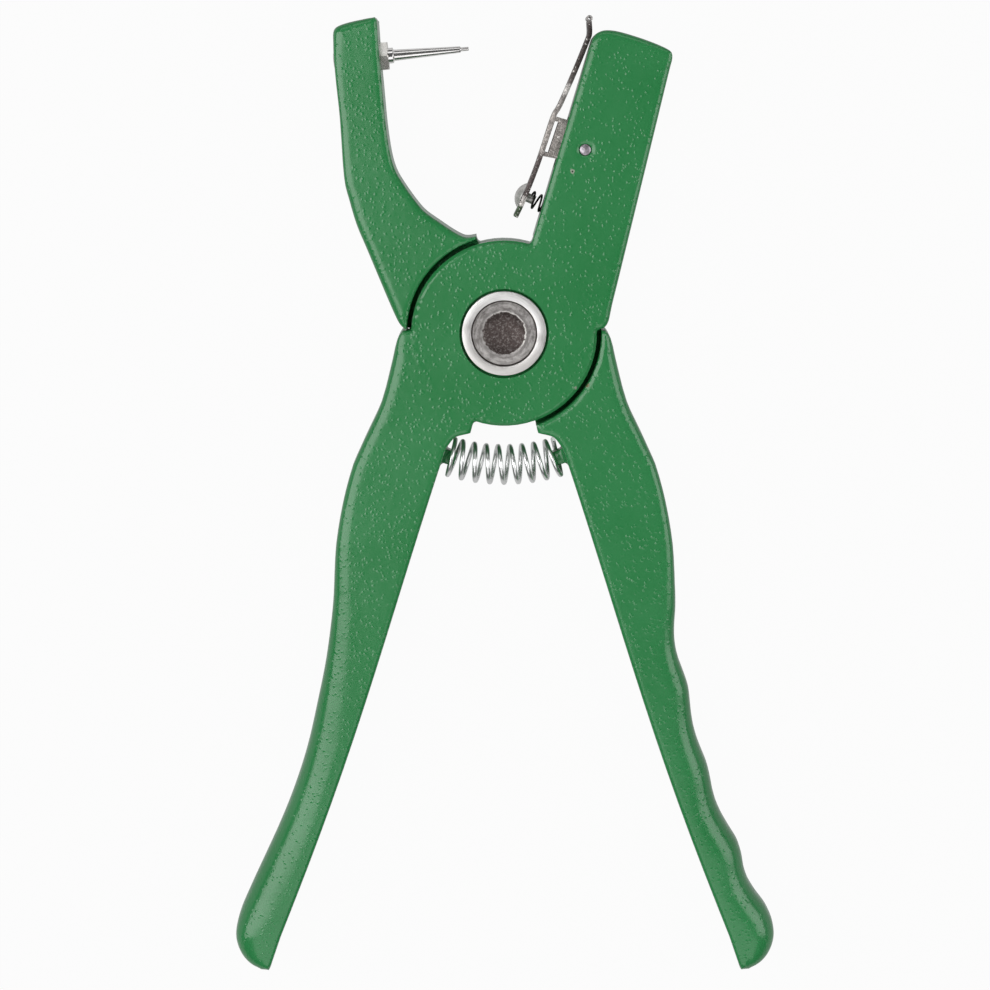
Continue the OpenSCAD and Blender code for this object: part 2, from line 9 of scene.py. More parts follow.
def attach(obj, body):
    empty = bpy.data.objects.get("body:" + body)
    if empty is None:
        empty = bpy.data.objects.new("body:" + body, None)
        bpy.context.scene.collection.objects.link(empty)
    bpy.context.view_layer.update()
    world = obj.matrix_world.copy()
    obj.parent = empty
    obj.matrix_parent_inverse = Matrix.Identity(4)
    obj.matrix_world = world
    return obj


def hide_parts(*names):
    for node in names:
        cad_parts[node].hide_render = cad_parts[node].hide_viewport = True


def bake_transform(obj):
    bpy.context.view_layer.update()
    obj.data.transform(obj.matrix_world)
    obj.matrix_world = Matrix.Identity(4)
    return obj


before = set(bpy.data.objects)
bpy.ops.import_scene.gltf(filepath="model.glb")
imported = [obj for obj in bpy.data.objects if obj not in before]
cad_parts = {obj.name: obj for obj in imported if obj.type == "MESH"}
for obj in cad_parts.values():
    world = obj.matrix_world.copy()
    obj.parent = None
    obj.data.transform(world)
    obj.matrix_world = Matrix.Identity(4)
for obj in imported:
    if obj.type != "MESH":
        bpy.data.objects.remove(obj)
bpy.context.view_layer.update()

mm = 0.001
midZ = 9 * mm  # middle of the tool's thickness
topZ = 18 * mm  # front face of the castings
faceTilt = math.radians(16.6)  # the female jaw's face, from the middle line
faceFoot = Vector((7 * mm, 22.956 * mm, 0))  # where that face starts on the disc


# Shader maths

class Value:  # one output of a shader node, with the sums that the materials use
    def __init__(self, sheet, socket):
        self.sheet = sheet
        self.socket = socket

    def __add__(self, other):
        return self.sheet.sum("ADD", self, other)

    def __radd__(self, other):
        return self.sheet.sum("ADD", other, self)

    def __sub__(self, other):
        return self.sheet.sum("SUBTRACT", self, other)

    def __rsub__(self, other):
        return self.sheet.sum("SUBTRACT", other, self)

    def __mul__(self, other):
        return self.sheet.sum("MULTIPLY", self, other)

    def __rmul__(self, other):
        return self.sheet.sum("MULTIPLY", other, self)


class Sheet:  # the nodes of one material, or of the world
    def __init__(self, owner):
        owner.use_nodes = True
        self.owner = owner
        self.tree = owner.node_tree
        self.tree.nodes.clear()

    @cached_property
    def place(self):
        return self.node("ShaderNodeTexCoord", output="Object")

    def node(self, kind, settings=None, inputs=None, output=None):
        made = self.tree.nodes.new(kind)
        for key, value in (settings or {}).items():
            if key == "stops":
                self.setStops(made.color_ramp, value)
            else:
                setattr(made, key, value)
        for key, value in (inputs or {}).items():
            socket = made.inputs[key] if isinstance(key, int) else self.pick(made.inputs, key)
            if isinstance(value, Value):
                self.tree.links.new(value.socket, socket)
            else:
                socket.default_value = value
        return Value(self, self.pick(made.outputs, output)) if made.outputs else None

    def pick(self, sockets, name):  # the first one in use, where no name is given
        return next(s for s in sockets if s.enabled and name in (None, s.name))

    def setStops(self, ramp, stops):
        while len(ramp.elements) < len(stops):
            ramp.elements.new(1)
        for element, (at, shade) in zip(ramp.elements, stops):
            element.position = at
            element.color = (*shade, 1)

    def sum(self, operation, a, b=0.0):
        return self.node("ShaderNodeMath", {"operation": operation}, {0: a, 1: b})

    def step(self, value, low, high, flip=False):  # 0 below low, 1 above high, smooth between
        ends = {"To Min": 1.0, "To Max": 0.0} if flip else {"To Min": 0.0, "To Max": 1.0}
        return self.node("ShaderNodeMapRange", {"interpolation_type": "SMOOTHSTEP"},
                         {"Value": value, "From Min": low, "From Max": high, **ends})

    def mix(self, factor, a, b):
        a = (*a, 1) if isinstance(a, tuple) else a
        b = (*b, 1) if isinstance(b, tuple) else b
        return self.node("ShaderNodeMix", {"data_type": "RGBA"}, {"Factor": factor, "A": a, "B": b})

    def noise(self, scale, detail=3.0, rough=0.5, place=None, output="Fac"):
        return self.node("ShaderNodeTexNoise", {}, {
            "Vector": place or self.place, "Scale": scale, "Detail": detail, "Roughness": rough}, output)

    def domes(self, scale, top, rim, heights, place):  # separate low domes, each of its own height
        inputs = {"Vector": place, "Scale": scale}
        away = self.node("ShaderNodeTexVoronoi", {"feature": "F1"}, inputs, "Distance")
        own = self.axis("X", self.node("ShaderNodeTexVoronoi", {"feature": "F1"}, inputs, "Color"))
        low, high = heights
        return self.step(away, top, rim, flip=True) * (own * (high - low) + low)

    def axis(self, name, place=None):
        return self.node("ShaderNodeSeparateXYZ", {}, {"Vector": place or self.place}, name)

    def distance(self, centre):
        return self.node("ShaderNodeVectorMath", {"operation": "DISTANCE"},
                         {0: self.place, 1: centre}, "Value")

    def polar(self):  # radius and angle about the pivot's axis
        x = self.axis("X")
        y = self.axis("Y")
        return self.sum("SQRT", x * x + y * y), self.sum("ARCTAN2", y, x)

    def ringed(self, radius, angle, along, around):  # place on a turned face, for noise in rings
        return self.node("ShaderNodeCombineXYZ", {}, {"X": radius * along, "Y": angle * around})

    def bump(self, height, distance, strength=1.0, below=None):
        inputs = {"Height": height, "Distance": distance, "Strength": strength}
        if below:
            inputs["Normal"] = below
        return self.node("ShaderNodeBump", {}, inputs)

    def finish(self, inputs):
        shader = self.node("ShaderNodeBsdfPrincipled", {}, inputs)
        self.node("ShaderNodeOutputMaterial", {}, {"Surface": shader})
        return self.owner


def newSheet(name):
    return Sheet(bpy.data.materials.new(name))


# Materials

def paintMaterial():
    look = {
        "base": (0.019, 0.205, 0.055),
        "light": (0.028, 0.226, 0.068),
        "cloud": 34,  # this and the other scales: so many to a metre
        "grain": 900,
        "grainShare": 0.25,
        "toneEnds": (0.35, 0.68),
        "roughness": 0.225,
        "roughnessSpread": 0.06,
        "roughnessPatch": 140,
        "pebble": 820,
        "pebbleEnds": (0.02, 0.42),  # from its top to its rim, in shares of their spacing
        "pebbleHeight": 0.066 * mm,
        "pebbleHeights": (0.72, 1.07),  # shares of it, from the lowest pebble to the highest
        "pebbleRoughness": 0.15,
        "pebbleSkin": (0.05, 0.3),  # heights between which the roughness changes
        "stray": 1.2 * mm,  # how far pebbles leave their grid
        "strayPatch": 260,
        "calm": 0.7,  # share of the height where the pebbles are low
        "calmPatch": 150,
        "calmEnds": (0.32, 0.62),
        "wave": 330,
        "waveHeight": 0.045 * mm,
        "chip": (17.6 * mm, 41.7 * mm, topZ),
        "chipR": (0.5 * mm, 0.66 * mm),
        "pitR": (0.16 * mm, 0.3 * mm),
        "chipDepth": 0.006 * mm,
        "lightScuff": (18.6 * mm, -14.1 * mm, topZ),
        "lightScuffR": (0.4 * mm, 0.55 * mm),
        "rustScuff": (21.4 * mm, -13.3 * mm, topZ),
        "rustScuffR": (0.6 * mm, 0.8 * mm),
        "ragged": 0.9 * mm,
        "raggedPatch": 1500,
        "bareMetal": (0.42, 0.42, 0.36),
        "rust": (0.20, 0.12, 0.06),
        # painted shade: the colour of the chip's pit
        "pitShade": (0.012, 0.02, 0.012),
        "specular": 0.6,
    }
    s = newSheet("greenPaint")
    cloud = s.noise(look["cloud"], 2.0) * (1 - look["grainShare"])
    tone = s.step(cloud + s.noise(look["grain"], 2.0) * look["grainShare"], *look["toneEnds"])
    color = s.mix(tone, look["base"], look["light"])
    bent = s.node("ShaderNodeVectorMath", {"operation": "SCALE"}, {
        0: s.noise(look["strayPatch"], 1.0, output="Color"), "Scale": look["stray"]})
    warped = s.node("ShaderNodeVectorMath", {"operation": "ADD"}, {0: s.place, 1: bent})
    pebbles = s.domes(look["pebble"], *look["pebbleEnds"], look["pebbleHeights"], warped)
    calm = s.step(s.noise(look["calmPatch"], 3.0), *look["calmEnds"]) * (1 - look["calm"]) + look["calm"]
    rough = look["roughness"] + (s.noise(look["roughnessPatch"], 2.0) - 0.5) * look["roughnessSpread"]
    smoother = look["roughness"] - look["pebbleRoughness"]
    rough = rough - s.step(pebbles, *look["pebbleSkin"]) * smoother
    ragged = (s.noise(look["raggedPatch"], 3.0) - 0.5) * look["ragged"]
    chipOff = s.distance(look["chip"]) + ragged * 0.5
    bare = s.step(chipOff, *look["chipR"], flip=True)
    # painted shade: the pit in the middle of the chip is darkened to near black
    shadedPit = s.step(chipOff, *look["pitR"], flip=True)
    scuff = s.step(s.distance(look["lightScuff"]) + ragged, *look["lightScuffR"], flip=True)
    rusty = s.step(s.distance(look["rustScuff"]) + ragged, *look["rustScuffR"], flip=True)
    color = s.mix(s.sum("MAXIMUM", bare * 0.7, scuff * 0.6), color, look["bareMetal"])
    color = s.mix(rusty * 0.7, color, look["rust"])
    color = s.mix(shadedPit, color, look["pitShade"])
    normal = s.bump(s.noise(look["wave"], 1.5, 0.45), look["waveHeight"])
    normal = s.bump(pebbles * calm, look["pebbleHeight"], below=normal)
    normal = s.bump(bare * -1.0, look["chipDepth"], below=normal)
    return s.finish({
        "Base Color": color, "Roughness": rough, "Normal": normal,
        "Specular IOR Level": look["specular"]})


def turnedMaterial():
    look = {
        "base": (0.83, 0.82, 0.81), "dark": (0.46, 0.45, 0.44), "low": (0.60, 0.575, 0.55),
        "roughness": 0.42, "roughnessSpread": 0.2,
        "groove": 4200, "around": 2.4, "grooveDepth": 0.02 * mm, "grooveEnds": (0.25, 0.7),
        "grooveShare": 0.45,
        "sheenBandTurn": 0.16, "sheenBandWidth": 0.26, "sheenBandRagged": 0.2,  # painted shade: the two dark reflection bands across the ring
        "bottomShadingEnds": (-9 * mm, 4 * mm), "bottomShadingLean": 0.2, "bottomShadingShare": 0.6,
    }
    s = newSheet("turnedSteel")
    radius, angle = s.polar()
    place = s.ringed(radius, angle, look["groove"], look["around"])
    grooves = s.noise(1.0, 3.0, 0.6, place)
    # painted reflection: dark bands left and right across the ring, mixed with the turning grooves' own
    # tone
    across = s.sum("ABSOLUTE", s.sum("SINE", angle + look["sheenBandTurn"]))
    ragged = (s.noise(1.0, 2.0, 0.5, place) - 0.5) * look["sheenBandRagged"]
    paintedSheenBands = s.step(across + ragged, 0.0, look["sheenBandWidth"])
    share = look["grooveShare"]
    groovesAndSheen = s.step(grooves, *look["grooveEnds"]) * share + paintedSheenBands * (1 - share)
    color = s.mix(groovesAndSheen, look["dark"], look["base"])
    # painted shade: the ring is darker towards its lower side
    low = s.step(s.axis("Y") + s.axis("X") * look["bottomShadingLean"], *look["bottomShadingEnds"], flip=True)
    color = s.mix(low * look["bottomShadingShare"], color, look["low"])
    return s.finish({
        "Base Color": color, "Metallic": 1.0,
        "Roughness": look["roughness"] + (grooves - 0.5) * look["roughnessSpread"],
        "Normal": s.bump(grooves, look["grooveDepth"])})


def struckMaterial():
    look = {
        "face": (0.52, 0.50, 0.485),
        "shade": (0.16, 0.148, 0.143),
        "dimple": (0.082, 0.064, 0.060),
        "speck": (0.27, 0.245, 0.235),
        # painted highlight on the dimple's ragged rim
        "rim": (0.70, 0.68, 0.65),
        "dimpleR": 5.5 * mm,
        "dimpleSoft": 0.12 * mm,
        "ragged": 1.2 * mm,
        "along": 1600,
        "around": 3.2,
        "mottle": 700,
        "mottleEnds": (0.36, 0.64),
        "bottomShadingEnds": (-7 * mm, 3 * mm),
        "bandOut": 0.75 * mm,  # a shaded ring just outside the dimple
        "bandEnds": (0.1 * mm, 0.5 * mm),
        "edgeShadeEnds": (8.05 * mm, 8.4 * mm),
        "speckGrain": 1500,
        "speckEnds": (0.46, 0.72),
        "rimOut": 0.14 * mm,
        "rimEnds": (0.02 * mm, 0.24 * mm),
        "rimGaps": (0.38, 0.52),
        "rimHighlightSide": (-3 * mm, 1.5 * mm),
        "pitGrain": 1300,
        "pitDepth": 0.08 * mm,
    }
    s = newSheet("struckSteel")
    radius, angle = s.polar()
    dimpleR = look["dimpleR"]
    ragged = radius + (s.noise(900, 3.0) - 0.5) * look["ragged"]
    inside = s.step(ragged, dimpleR - look["dimpleSoft"], dimpleR + look["dimpleSoft"], flip=True)
    turned = s.noise(1.0, 4.0, 0.65, s.ringed(radius, angle, look["along"], look["around"]))
    mottle = s.step(turned * 0.55 + s.noise(look["mottle"], 4.0, 0.7) * 0.45, *look["mottleEnds"])
    # painted light: the face is lighter towards the bottom
    low = s.step(s.axis("Y"), *look["bottomShadingEnds"], flip=True)
    face = s.mix(mottle * 0.8 + low * 0.25, look["shade"], look["face"])
    band = s.sum("ABSOLUTE", radius - (dimpleR + look["bandOut"]))
    face = s.mix(s.step(band, *look["bandEnds"], flip=True) * 0.5, face, look["shade"])
    # painted shade: a dark ring at the pin's outer edge, against the washer
    face = s.mix(s.step(radius, *look["edgeShadeEnds"]), face, look["dimple"])
    specks = s.step(s.noise(look["speckGrain"], 4.0, 0.75), *look["speckEnds"])
    dimple = s.mix(specks, look["dimple"], look["speck"])
    # painted highlight: the dimple's ragged rim is lit on one side only
    rimOff = s.sum("ABSOLUTE", ragged - (dimpleR + look["rimOut"]))
    highlightSide = s.step(s.axis("X") + s.axis("Y") * 0.8, *look["rimHighlightSide"])
    gaps = s.step(s.noise(900, 3.0), *look["rimGaps"])
    rim = s.step(rimOff, *look["rimEnds"], flip=True) * gaps * highlightSide
    color = s.mix(rim * 0.9, s.mix(inside, face, dimple), look["rim"])
    return s.finish({
        "Base Color": color, "Metallic": 0.85, "Roughness": 0.45 + s.noise(800, 3.0) * 0.2,
        "Normal": s.bump(s.noise(look["pitGrain"], 4.0, 0.7), look["pitDepth"])})


def steelMaterial(name, look):
    s = newSheet(name)
    patch = s.step(s.noise(look["grain"], 4.0, 0.6), 0.36, 0.66)
    fine = s.noise(look["grain"] * 6, 2.0)
    return s.finish({
        "Base Color": s.mix(patch, look["dark"], look["base"]), "Metallic": look.get("metallic", 1.0),
        "Roughness": look["roughness"] + (fine - 0.5) * 0.05,
        "Normal": s.bump(patch * 0.6 + fine * 0.4, look["height"])})


def clipMaterial():  # painted reflections: light and dark bands along the strip, by the distance up the jaw's face; the lowest, green-tinted band is the casting's reflection
    look = {
        "reach": 64 * mm,
        "reflectionBands": (
            (0.0, (0.035, 0.060, 0.030)), (8.4, (0.040, 0.068, 0.034)), (9.0, (0.62, 0.59, 0.56)),
            (11.0, (0.55, 0.52, 0.50)), (11.8, (0.085, 0.068, 0.066)), (22.0, (0.11, 0.09, 0.087)),
            (23.6, (0.36, 0.33, 0.31)), (34.0, (0.38, 0.35, 0.33)), (39.0, (0.30, 0.28, 0.27)),
            (39.6, (0.66, 0.63, 0.61)), (41.6, (0.66, 0.63, 0.61)), (42.6, (0.16, 0.14, 0.135)),
            (47.0, (0.075, 0.062, 0.058)), (58.2, (0.060, 0.050, 0.048)), (59.4, (0.42, 0.40, 0.39))),
        "ragged": 0.9 * mm,
        "stain": (0.055, 0.048, 0.046),
        "stainGrain": 900,
        "stainEnds": (0.4, 0.64),
        "glint": (0.75, 0.73, 0.70),
        "glintGrain": 1600,
        "glintEnds": (0.60, 0.66),
        "roughness": 0.42,
        "height": 0.03 * mm,
    }
    s = newSheet("clipSteel")
    up = ((s.axis("X") - faceFoot.x) * math.sin(faceTilt)
          + (s.axis("Y") - faceFoot.y) * math.cos(faceTilt))
    up = up + (s.noise(500, 3.0) - 0.5) * look["ragged"]
    # painted reflection bands, placed by the distance up the jaw's face
    stops = [(at * mm / look["reach"], shade) for at, shade in look["reflectionBands"]]
    paintedReflections = s.node("ShaderNodeValToRGB", {"stops": stops}, {"Fac": up * (1 / look["reach"])}, "Color")
    stain = s.step(s.noise(look["stainGrain"], 4.0, 0.7), *look["stainEnds"])
    color = s.mix(stain * 0.45, paintedReflections, look["stain"])
    glint = s.step(s.noise(look["glintGrain"], 3.0, 0.6), *look["glintEnds"])
    color = s.mix(glint * 0.6, color, look["glint"])
    return s.finish({
        "Base Color": color, "Metallic": 0.75, "Roughness": look["roughness"] + (stain - 0.5) * 0.2,
        "Normal": s.bump(stain, look["height"])})


def buildMaterials():
    return {
        "paint": paintMaterial(),
        "turned": turnedMaterial(),
        "struck": struckMaterial(),
        "wire": steelMaterial("platedWire", {
            "base": (0.90, 0.90, 0.90), "dark": (0.80, 0.80, 0.80), "roughness": 0.3,
            "grain": 120, "height": 0.0002 * mm}),
        "polished": steelMaterial("polishedSteel", {
            "base": (0.92, 0.91, 0.90), "dark": (0.80, 0.78, 0.77), "roughness": 0.16,
            "grain": 240, "height": 0.001 * mm}),
        "nut": steelMaterial("platedNut", {
            "base": (0.82, 0.80, 0.77), "dark": (0.55, 0.53, 0.50), "roughness": 0.2,
            "grain": 240, "height": 0.004 * mm}),
        "dome": steelMaterial("domeSteel", {
            "base": (0.72, 0.70, 0.69), "dark": (0.50, 0.48, 0.47), "roughness": 0.35,
            "grain": 420, "height": 0.004 * mm, "metallic": 0.4}),
        "axle": steelMaterial("axleSteel", {
            "base": (0.54, 0.50, 0.55), "dark": (0.30, 0.27, 0.30), "roughness": 0.36,
            "grain": 900, "height": 0.02 * mm}),
        "clip": clipMaterial(),
        "darkWire": steelMaterial("darkWire", {
            "base": (0.085, 0.08, 0.078), "dark": (0.03, 0.028, 0.028), "roughness": 0.3,
            "grain": 700, "height": 0.004 * mm}),
    }


# Mesh helpers

def newPiece(name, bm, material, smoothAngle=40):
    mesh = bpy.data.meshes.new(name)
    bm.to_mesh(mesh)
    bm.free()
    piece = bpy.data.objects.new(name, mesh)
    bpy.context.scene.collection.objects.link(piece)
    mesh.materials.append(material)
    mesh.shade_smooth()
    if smoothAngle:
        mesh.set_sharp_from_angle(angle=math.radians(smoothAngle))
    return piece


def cadCopy(nodeName, merge=0.002 * mm):
    bm = bmesh.new()
    bm.from_mesh(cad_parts[nodeName].data)
    bmesh.ops.remove_doubles(bm, verts=bm.verts, dist=merge)
    return bm


def applyModifiers(piece):
    view = bpy.context.evaluated_depsgraph_get()
    mesh = bpy.data.meshes.new_from_object(piece.evaluated_get(view))
    old = piece.data
    piece.modifiers.clear()
    piece.data = mesh
    bpy.data.meshes.remove(old)
    return mesh


def place(piece, body, slot, *nodes):
    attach(piece, body)
    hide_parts(*nodes)


def arc(middle, radius, start, end, steps):  # points on a circle in the profile's plane, in degrees
    turns = [math.radians(start + (end - start) * i / steps) for i in range(steps + 1)]
    return [(middle[0] + radius * math.cos(a), middle[1] + radius * math.sin(a)) for a in turns]


def spun(profile, steps):  # profile is (radius, height) from the axis out and back to the axis
    bm = bmesh.new()
    verts = [bm.verts.new((r, 0, z)) for r, z in profile]
    edges = [bm.edges.new(pair) for pair in zip(verts, verts[1:])]
    bmesh.ops.spin(bm, geom=verts + edges, cent=(0, 0, 0), axis=(0, 0, 1), dvec=(0, 0, 0),
                   angle=2 * math.pi, steps=steps, use_merge=True, use_duplicate=False)
    bmesh.ops.remove_doubles(bm, verts=bm.verts, dist=0.001 * mm)
    bmesh.ops.recalc_face_normals(bm, faces=bm.faces)
    return bm


def sweptWire(name, points, radius, material, sides=6):
    curve = bpy.data.curves.new(name, "CURVE")
    curve.dimensions = "3D"
    curve.bevel_depth = radius
    curve.bevel_resolution = sides
    curve.use_fill_caps = True
    line = curve.splines.new("POLY")
    line.points.add(len(points) - 1)
    for spot, point in zip(line.points, points):
        spot.co = (*point, 1)
    holder = bpy.data.objects.new(name, curve)
    bpy.context.scene.collection.objects.link(holder)
    view = bpy.context.evaluated_depsgraph_get()
    mesh = bpy.data.meshes.new_from_object(holder.evaluated_get(view))
    bpy.data.objects.remove(holder)
    bm = bmesh.new()
    bm.from_mesh(mesh)
    bpy.data.meshes.remove(mesh)
    bmesh.ops.remove_doubles(bm, verts=bm.verts, dist=0.001 * mm)
    bmesh.ops.recalc_face_normals(bm, faces=bm.faces)
    return newPiece(name, bm, material, 50)


# Camera and stage

def makeCamera():
    look = {
        "at": (-1.13 * mm, 60.7 * mm, 838 * mm), "to": (-2.43 * mm, -42 * mm, 18 * mm),
        "lens": 115.58, "sensor": 36, "roll": math.radians(-0.1),
    }
    data = bpy.data.cameras.new("camera")
    data.lens = look["lens"]
    data.sensor_width = look["sensor"]
    camera = bpy.data.objects.new("camera", data)
    bpy.context.scene.collection.objects.link(camera)
    back = (Vector(look["at"]) - Vector(look["to"])).normalized()
    right = Vector((0, 1, 0)).cross(back).normalized()
    right = Matrix.Rotation(look["roll"], 3, back) @ right
    up = back.cross(right)
    camera.matrix_world = Matrix.LocRotScale(
        Vector(look["at"]), Matrix((right, up, back)).transposed(), None)
    bpy.context.scene.camera = camera


def areaLight(name, at, to, size, glow):  # glow 1 is as bright as white paper
    data = bpy.data.lights.new(name, "AREA")
    data.shape = "RECTANGLE"
    data.size, data.size_y = size
    data.energy = glow * math.pi * size[0] * size[1]
    light = bpy.data.objects.new(name, data)
    bpy.context.scene.collection.objects.link(light)
    light.location = at
    light.rotation_euler = (Vector(to) - Vector(at)).to_track_quat("-Z", "Y").to_euler()
    light.visible_camera = False


def makeStage():
    look = {
        "floorAlbedo": 0.32,
        "floorSize": 4,
        "floorDrop": 0.05 * mm,
        "worldLight": 0.08,
        "seen": 0.96,  # share of plain white in what the camera sees of the floor
        "mirrored": 0.45,  # the same in what shiny things reflect of it
        "lightAt": (0, -20 * mm, 9 * mm),  # where the boxes point
        "boxes": {  # place, size and glow of each
            "leftBox": ((-0.75, 0.05, 0.92), (0.68, 1.5), 3.2),
            "rightBox": ((0.96, 0.05, 0.72), (0.64, 1.0), 2.5),
            "nearBox": ((0.0, -0.80, 1.10), (1.3, 0.9), 1.2),
            "farBox": ((0.0, 1.1, 0.85), (1.2, 0.6), 1.0),
        },
    }
    white = (1, 1, 1, 1)
    scene = bpy.context.scene
    scene.view_settings.view_transform = "Standard"
    scene.world = bpy.data.worlds.new("studio")
    s = Sheet(scene.world)
    light = s.node("ShaderNodeBackground", {}, {"Color": white, "Strength": look["worldLight"]})
    plain = s.node("ShaderNodeBackground", {}, {"Color": white, "Strength": 1.0})
    camera = s.node("ShaderNodeLightPath", output="Is Camera Ray")
    through = s.node("ShaderNodeLightPath", output="Is Transmission Ray")
    direct = s.sum("MAXIMUM", camera, through)
    shader = s.node("ShaderNodeMixShader", {}, {0: direct, 1: light, 2: plain})
    s.node("ShaderNodeOutputWorld", {}, {"Surface": shader})

    s = newSheet("floorPaper")
    paper = s.node("ShaderNodeBsdfDiffuse", {}, {"Color": (*[look["floorAlbedo"]] * 3, 1)})
    glow = s.node("ShaderNodeEmission", {}, {"Color": white, "Strength": 1.0})
    camera = s.node("ShaderNodeLightPath", output="Is Camera Ray")
    glossy = s.node("ShaderNodeLightPath", output="Is Glossy Ray")
    through = s.node("ShaderNodeLightPath", output="Is Transmission Ray")
    direct = s.sum("MAXIMUM", camera, through) * look["seen"]
    background = s.sum("MAXIMUM", direct, glossy * look["mirrored"])
    shader = s.node("ShaderNodeMixShader", {}, {0: background, 1: paper, 2: glow})
    s.node("ShaderNodeOutputMaterial", {}, {"Surface": shader})
    bm = bmesh.new()
    bmesh.ops.create_grid(bm, x_segments=1, y_segments=1, size=look["floorSize"])
    bmesh.ops.translate(bm, verts=bm.verts, vec=(0, 0, -look["floorDrop"]))
    newPiece("floor", bm, s.owner, None)
    for name, (at, size, glow) in look["boxes"].items():
        areaLight(name, at, look["lightAt"], size, glow)


# Castings

def crispEdges(bm, sharp):  # the CAD's edges that stay crisp
    return [e for e in bm.edges if len(e.link_faces) == 2 and e.calc_face_angle(0) >= sharp]


def crispTree(lines, spacing):  # points along the lines, each with the number of its line
    spots = []
    for number, (a, b) in enumerate(lines):
        count = max(int((b - a).length / spacing), 1)
        spots += [(a.lerp(b, i / count), number) for i in range(count + 1)]
    tree = kdtree.KDTree(len(spots))
    for point, number in spots:
        tree.insert(point, number)
    tree.balance()
    return tree


def smoothCasting(nodeName, name, body, materials, boreEnd):
    look = {
        "voxel": 0.53 * mm, "crisp": math.radians(32), "spacing": 0.5 * mm, "pull": 0.29 * mm,
        "passes": ((0, 2), (-44, 3), (-56, 3), (-68, 4), (-80, 4), (-92, 5)),  # below mm, how many
        "handleAt": (19 * mm, -34 * mm), "handleSlope": 0.34,  # the handles' inner edge and a rim
        "bore": 11.55 * mm, "snap": 0.45 * mm, "rimR": 14 * mm, "flat": 0.45 * mm, "top": 17.95 * mm,
    }
    bm = cadCopy(nodeName)
    lines = [tuple(v.co.copy() for v in edge.verts) for edge in crispEdges(bm, look["crisp"])]
    tree = crispTree(lines, look["spacing"])
    piece = newPiece(name, bm, materials["paint"], None)
    remesh = piece.modifiers.new("cast", "REMESH")
    remesh.mode = "VOXEL"
    remesh.voxel_size = look["voxel"]
    remesh.use_smooth_shade = True
    mesh = applyModifiers(piece)
    bm = bmesh.new()
    bm.from_mesh(mesh)
    seatX, seatY = look["handleAt"]
    for below, passes in look["passes"]:  # more and more down the handles' outer part
        group = [v for v in bm.verts if not below or v.co.y < below * mm and
                 abs(v.co.x) > seatX + (seatY - v.co.y) * look["handleSlope"]]
        for _ in range(passes):
            bmesh.ops.smooth_vert(bm, verts=group, factor=0.5, use_axis_x=True, use_axis_y=True,
                                  use_axis_z=True)
    for v in bm.verts:
        r = math.hypot(v.co.x, v.co.y)
        if r < look["rimR"] and abs(v.co.z - boreEnd) < look["flat"]:
            v.co.z = boreEnd
        v.co.z = min(v.co.z, look["top"])
        spot, number, away = tree.find(v.co)
        if away < look["pull"] * 2:
            a, b = lines[number]
            share = min(max((v.co - a).dot(b - a) / (b - a).length_squared, 0), 1)
            near = a.lerp(b, share)
            if (near - v.co).length < look["pull"]:
                v.co = near
        r = math.hypot(v.co.x, v.co.y)
        if abs(r - look["bore"]) < look["snap"]:  # the counterbore's wall and its sharp rim
            v.co.x *= look["bore"] / r
            v.co.y *= look["bore"] / r
            if abs(v.co.z - boreEnd) < look["snap"]:
                v.co.z = boreEnd
    bm.to_mesh(mesh)
    bm.free()
    if not mesh.materials:
        mesh.materials.append(materials["paint"])
    mesh.shade_smooth()
    mesh.set_sharp_from_angle(angle=look["crisp"])
    place(piece, body, "green_cast", nodeName)
    mesh.calc_loop_triangles()
    print(f"{name}: {len(mesh.loop_triangles)} triangles, {len(lines)} crisp edges")


# Pivot

